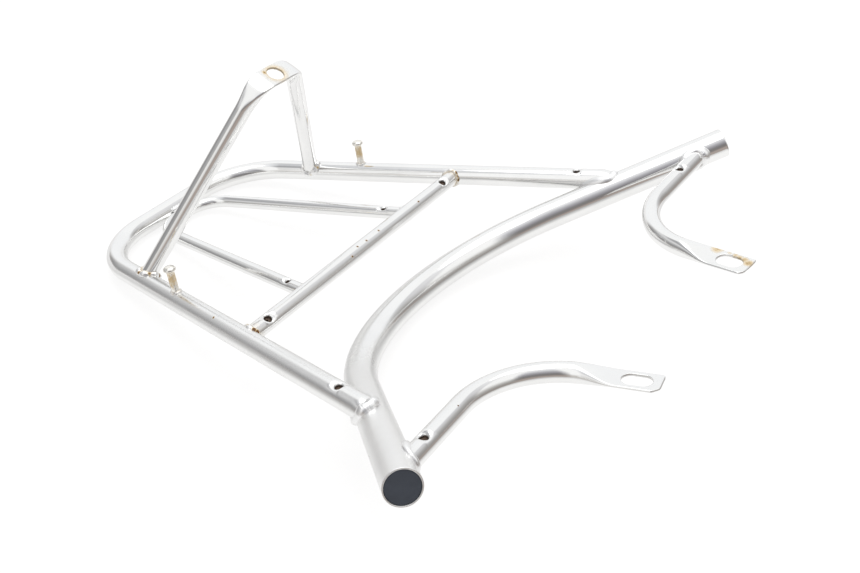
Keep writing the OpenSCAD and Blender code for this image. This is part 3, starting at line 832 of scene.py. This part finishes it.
# A joint is the branch's tip, heading, radius and dome, then a point, the heading and the radius of the
# main tube. Pairs are (left, right). Spots are rust beside the bead: place, reach and strength.
bead_plan = {
    "loop_weld": dict(
        joint=(rail_tip, -rail_head, loop_radius, rail_dome, leg_point(meet_at), bar_head, bar_radius),
        sizes=(2.9, 4.0), sinks=(bead_proud, 0.45), drops=5, lumps=0.2, rusts=(0.0, 0.0),
        puddles=(np.array([0.6, -1.2, 1.6]), no_puddle)),
    "cross_weld": dict(
        joint=(rail_point(cross_y), -sideways, cross_radius, cut_square, rail_point(cross_y), rail_head,
               loop_radius),
        sizes=(1.8, 1.8), drops=8, lumps=0.2, rusts=(0.85, 0.85), spots=(
            [((-123.4, -205.0, 6.0), 2.1, 1.4), ((-122.6, -206.8, 4.2), 2.1, 1.4)],
            [((123.0, -205.5, 5.6), 2.3, 1.25), ((122.4, -207.4, 3.0), 2.3, 1.3),
             ((121.4, -208.0, 0.0), 2.5, 1.2)])),
    "inner_weld": dict(
        joint=(inner_end, inner_corner - inner_end, inner_radius, inner_dome, np.array([0, -cross_y, 0]),
               sideways, cross_radius),
        sizes=(1.5, 1.5), drops=7, lumps=0.2, rusts=(0.5, 0.5)),
    "stay_weld": dict(
        joint=(stay_point(stay_foot, 0), stay_head, stay_radius, cut_square, rail_point(stay_y), rail_head,
               loop_radius),
        sizes=(2.6, 2.3), drops=6, lumps=0.4, rusts=(0.9, 0.5), crease=1.0),
    "arm_weld": dict(
        joint=(arm_from, arm_axes @ sideways, arm_radius, cut_square, arm_from, bar_head, bar_radius),
        sizes=(1.8, 4.2), sinks=(bead_proud, 0.35), drops=3, lumps=0.35, rusts=(0.2, 0.2),
        puddles=(np.array([0, 0.3, 0.9]), no_puddle)),
    "peg_weld": dict(
        joint=(rail_point(peg_y), up, peg_radius, cut_square, rail_point(peg_y), rail_head, loop_radius),
        sizes=(1.4, 1.4), drops=6, lumps=0.2, rusts=(0.5, 0.5)),
}
for number, (weld_name, plan) in enumerate(bead_plan.items()):
    path, corner = bead_path(*plan["joint"])
    branch_head, branch_radius = plan["joint"][1:3]
    middle = path.mean(0) + branch_head / np.linalg.norm(branch_head) * stain_back
    sinks = plan.get("sinks", (bead_proud, bead_proud))
    puddles = plan.get("puddles", (no_puddle, no_puddle))
    spots = plan.get("spots", ([], []))
    for side, (side_name, on_side) in enumerate(both_sides):
        rust = plan["rusts"][side]
        in_creases = rust * plan.get("crease", crease_rust)
        grid, creases = bead_skin(
            on_side(path), on_side(corner), plan["sizes"][side], sinks[side], plan["drops"], plan["lumps"],
            on_side(puddles[side]), 10 * number + len(side_name))
        stains = [("rust", on_side(middle), branch_radius + stain_past, rust)]
        stains += [("rust", crease, crease_reach, in_creases * share) for crease, share in creases]
        stains += [("rust", *spot) for spot in spots[side]]
        weld = make_piece(side_name + "_" + weld_name + "_piece", [(grid, True, 0)], stains)
        finish_piece(weld, side_name + "_" + weld_name, weld_chrome)

rear_reach = inner_rear - inner_bend * math.tan((math.pi / 2 - inner_taper) / 2) + rear_bead_past
rear_end = np.array([rear_reach, -loop_radius, inner_z + inner_radius])
rear_path, rear_heads = bent_path([other_side(rear_end), rear_end], radius=1.0, pitch=0.4)
rear_along = np.linspace(-1, 1, len(rear_path))
rear_swell = 1 + rear_bead_lumps * np.sin(rear_bead_waves * rear_along)
rear_radii = rear_bead_radius * np.sqrt(1 - np.abs(rear_along) ** 4) * rear_swell
rear_grid = sweep(rear_path, rear_heads, up, rear_radii + closed_radius, around=rear_bead_around)
rear_weld = make_piece("rear_weld_piece", [(rear_grid, True, 0)])
finish_piece(rear_weld, "rear_weld", weld_chrome)


# Floor and light
# A plain white studio table under a soft overhead lamp. It ends just in front of the rack. What the tubes
# mirror of it glows with painted light that fades at a slant and grows towards the back.
# The walls differ in tone, and the dim one gives the chrome its dark band.

table_near = -0.42
table_far = 3.0
table_cloud = 0.4
table_white = 0.79
table_back = (0.71, 0.71, 0.0)
lamp_size = 1.5
lamp_watts = 8.2
lamp_place = (0.3, 0.25, 2.0)

floor_mesh = bpy.data.meshes.new("table_top")
floor_corners = [(x, y, 0.0) for x, y in (
    (table_near, table_near), (table_far, table_near), (table_far, table_far), (table_near, table_far))]
floor_mesh.from_pydata(floor_corners, [], [(0, 1, 2, 3)])
floor = bpy.data.objects.new("table_top", floor_mesh)
bpy.context.scene.collection.objects.link(floor)

# White laminate: plain white to the eye, with the rack's soft shadow, and a dimmer painted glow where the
# tubes mirror it.
floor_paint, floor_tree, floor_shader = new_material("white_table_laminate")
floor_place = add_node(floor_tree, "ShaderNodeTexCoord").outputs["Object"]
floor_cloud = add_node(
    floor_tree, "ShaderNodeTexNoise", Vector=floor_place, Scale=1 / table_cloud, Detail=2.0)
floor_tone = add_node(
    floor_tree, "ShaderNodeMixRGB", Fac=floor_cloud, Color1=colour("#8f8e8d"), Color2=colour("#959493"))
floor_rays = add_node(floor_tree, "ShaderNodeLightPath")
floor_slant = add_node(floor_tree, "ShaderNodeLayerWeight", Blend=0.5)
# Painted light: what the tubes mirror of the table glows, less at a slant and more towards the back of the
# table.
floor_slant_painted_dim = add_node(
    floor_tree, "ShaderNodeMapRange", Value=floor_slant.outputs["Facing"], From_Min=0.45, From_Max=0.95,
    To_Min=0.7, To_Max=0.05)
floor_back = add_node(
    floor_tree, "ShaderNodeVectorMath", {"operation": "DOT_PRODUCT"}, n0=floor_place, n1=table_back)
floor_back_painted_light = add_node(
    floor_tree, "ShaderNodeMapRange", soft_range, Value=floor_back.outputs["Value"], From_Min=-0.12,
    From_Max=0.16, To_Max=0.55)
floor_painted_glow_level = add_node(floor_tree, "ShaderNodeMath", {"operation": "MAXIMUM"}, n0=floor_slant_painted_dim, n1=floor_back_painted_light)
floor_mirrored_painted_glow = add_node(
    floor_tree, "ShaderNodeMath", {"operation": "MULTIPLY"}, n0=floor_rays.outputs["Is Glossy Ray"],
    n1=floor_painted_glow_level)
floor_glow = add_node(
    floor_tree, "ShaderNodeMath", {"operation": "MULTIPLY_ADD"}, n0=floor_rays.outputs["Is Camera Ray"],
    n1=table_white, n2=floor_mirrored_painted_glow)
set_sockets(
    floor_tree, floor_shader, Base_Color=floor_tone, Roughness=0.6, Specular_IOR_Level=0.1,
    Emission_Color=colour("#ffffff"), Emission_Strength=floor_glow)
floor_mesh.materials.append(floor_paint)

room = bpy.data.worlds.new("studio_room")
bpy.context.scene.world = room
room.use_nodes = True
room_tree = room.node_tree
room_way = add_node(room_tree, "ShaderNodeTexCoord").outputs["Generated"]
room_rise = add_node(room_tree, "ShaderNodeSeparateXYZ", Vector=room_way).outputs["Z"]
room_flat = add_node(room_tree, "ShaderNodeVectorMath", {"operation": "MULTIPLY"}, n0=room_way, n1=(1, 1, 0))
room_level = add_node(room_tree, "ShaderNodeVectorMath", {"operation": "NORMALIZE"}, n0=room_flat)


def room_side(bearing, half_full, half_soft):
    """1 within half_full degrees of a bearing, counted from +X to +Y, falling to 0 at half_soft degrees."""
    turn = math.radians(bearing)
    way = (math.cos(turn), math.sin(turn), 0)
    facing = add_node(room_tree, "ShaderNodeVectorMath", {"operation": "DOT_PRODUCT"}, n0=room_level, n1=way)
    return add_node(
        room_tree, "ShaderNodeMapRange", soft_range, Value=facing.outputs["Value"],
        From_Min=math.cos(math.radians(half_soft)), From_Max=math.cos(math.radians(half_full)))


def room_tones(*tones):
    """Colours by height: each is (sine of the elevation, colour)."""
    ramp = add_node(room_tree, "ShaderNodeValToRGB", Fac=room_rise)
    ends = ramp.color_ramp.elements
    for element, (rise, tone) in zip((ends[0], ends[1]), (tones[0], tones[-1])):
        element.position = rise
        element.color = colour(tone)
    for rise, tone in tones[1:-1]:
        ends.new(rise).color = colour(tone)
    return ramp


far_wall = room_tones((0.0, "#eeedec"), (0.2, "#f9fafc"), (0.6, "#fdfeff"), (0.9, "#ffffff"))
low_wall = room_tones(
    (0.0, "#9d9793"), (0.17, "#acaaa8"), (0.34, "#c8c6c4"), (0.5, "#ebebea"), (0.6, "#fcfcfc"),
    (0.7, "#ffffff"))
near_wall = room_tones((0.0, "#ccc8c4"), (0.17, "#e6e5e4"), (0.34, "#ffffff"), (0.9, "#ffffff"))
rear_wall = room_tones(
    (0.0, "#aaa6a4"), (0.1, "#919092"), (0.2, "#9a9a9b"), (0.34, "#b6b6b7"), (0.46, "#d4d4d5"),
    (0.56, "#dcdcdd"), (0.64, "#adadaf"), (0.72, "#a6a6a9"), (0.79, "#d0d1d4"), (0.88, "#f2f3f5"),
    (0.97, "#ffffff"))
dim_wall = room_tones(
    (0.0, "#aca19b"), (0.08, "#958c88"), (0.17, "#85807f"), (0.36, "#817f7e"), (0.52, "#939196"),
    (0.66, "#acabb0"), (0.78, "#c6c6ca"), (0.88, "#e2e2e6"), (0.97, "#ffffff"))
walls = add_node(room_tree, "ShaderNodeMixRGB", Fac=room_side(28, 38, 56), Color1=low_wall, Color2=far_wall)
walls = add_node(room_tree, "ShaderNodeMixRGB", Fac=room_side(177, 14, 23), Color1=walls, Color2=near_wall)
walls = add_node(room_tree, "ShaderNodeMixRGB", Fac=room_side(115, 25, 43), Color1=walls, Color2=rear_wall)
front_dim = add_node(
    room_tree, "ShaderNodeMath", {"operation": "MULTIPLY"}, n0=room_side(331, 12, 25), n1=0.5)
dim_sides = add_node(
    room_tree, "ShaderNodeMath", {"operation": "MAXIMUM"}, n0=room_side(221, 22, 40), n1=front_dim)
walls = add_node(room_tree, "ShaderNodeMixRGB", Fac=dim_sides, Color1=walls, Color2=dim_wall)
room_ray = add_node(room_tree, "ShaderNodeLightPath").outputs["Is Camera Ray"]
room_seen = add_node(room_tree, "ShaderNodeMixRGB", Fac=room_ray, Color1=walls, Color2=colour("#ffffff"))
set_sockets(room_tree, room_tree.nodes["Background"], Color=room_seen, Strength=1.0)

lamp_data = bpy.data.lights.new("overhead_softbox", "AREA")
lamp_data.size = lamp_size
lamp_data.energy = lamp_watts
lamp = bpy.data.objects.new("overhead_softbox", lamp_data)
lamp.location = lamp_place
bpy.context.scene.collection.objects.link(lamp)


# Camera
# Stands at the left front of the rack and looks down on it, as the photograph was taken.
# Its place, heading and roll come from the rack's own marks, seen on both sides.

camera_place = np.array([-0.53238, -0.38389, 0.48489])
camera_ahead = np.array([0.67823, 0.44961, -0.58125])
camera_roll = math.radians(0.287)
camera_lens = 46.05
full_frame = 36.0

camera_ahead /= np.linalg.norm(camera_ahead)
level_right = np.cross(camera_ahead, up)
level_right /= np.linalg.norm(level_right)
level_up = np.cross(level_right, camera_ahead)
camera_up = math.cos(camera_roll) * level_up + math.sin(camera_roll) * level_right
camera_right = np.cross(camera_ahead, camera_up)
camera_data = bpy.data.cameras.new("photo_view")
camera_data.sensor_width = full_frame
camera_data.sensor_fit = "HORIZONTAL"
camera_data.lens = camera_lens
camera = bpy.data.objects.new("photo_view", camera_data)
camera_axes = np.eye(4)
camera_axes[:3, :3] = np.stack([camera_right, camera_up, -camera_ahead], 1)
camera_axes[:3, 3] = camera_place
camera.matrix_world = Matrix(camera_axes.tolist())
bpy.context.scene.collection.objects.link(camera)
bpy.context.scene.camera = camera

bpy.context.scene.view_settings.view_transform = "Standard"
bpy.context.view_layer.update()
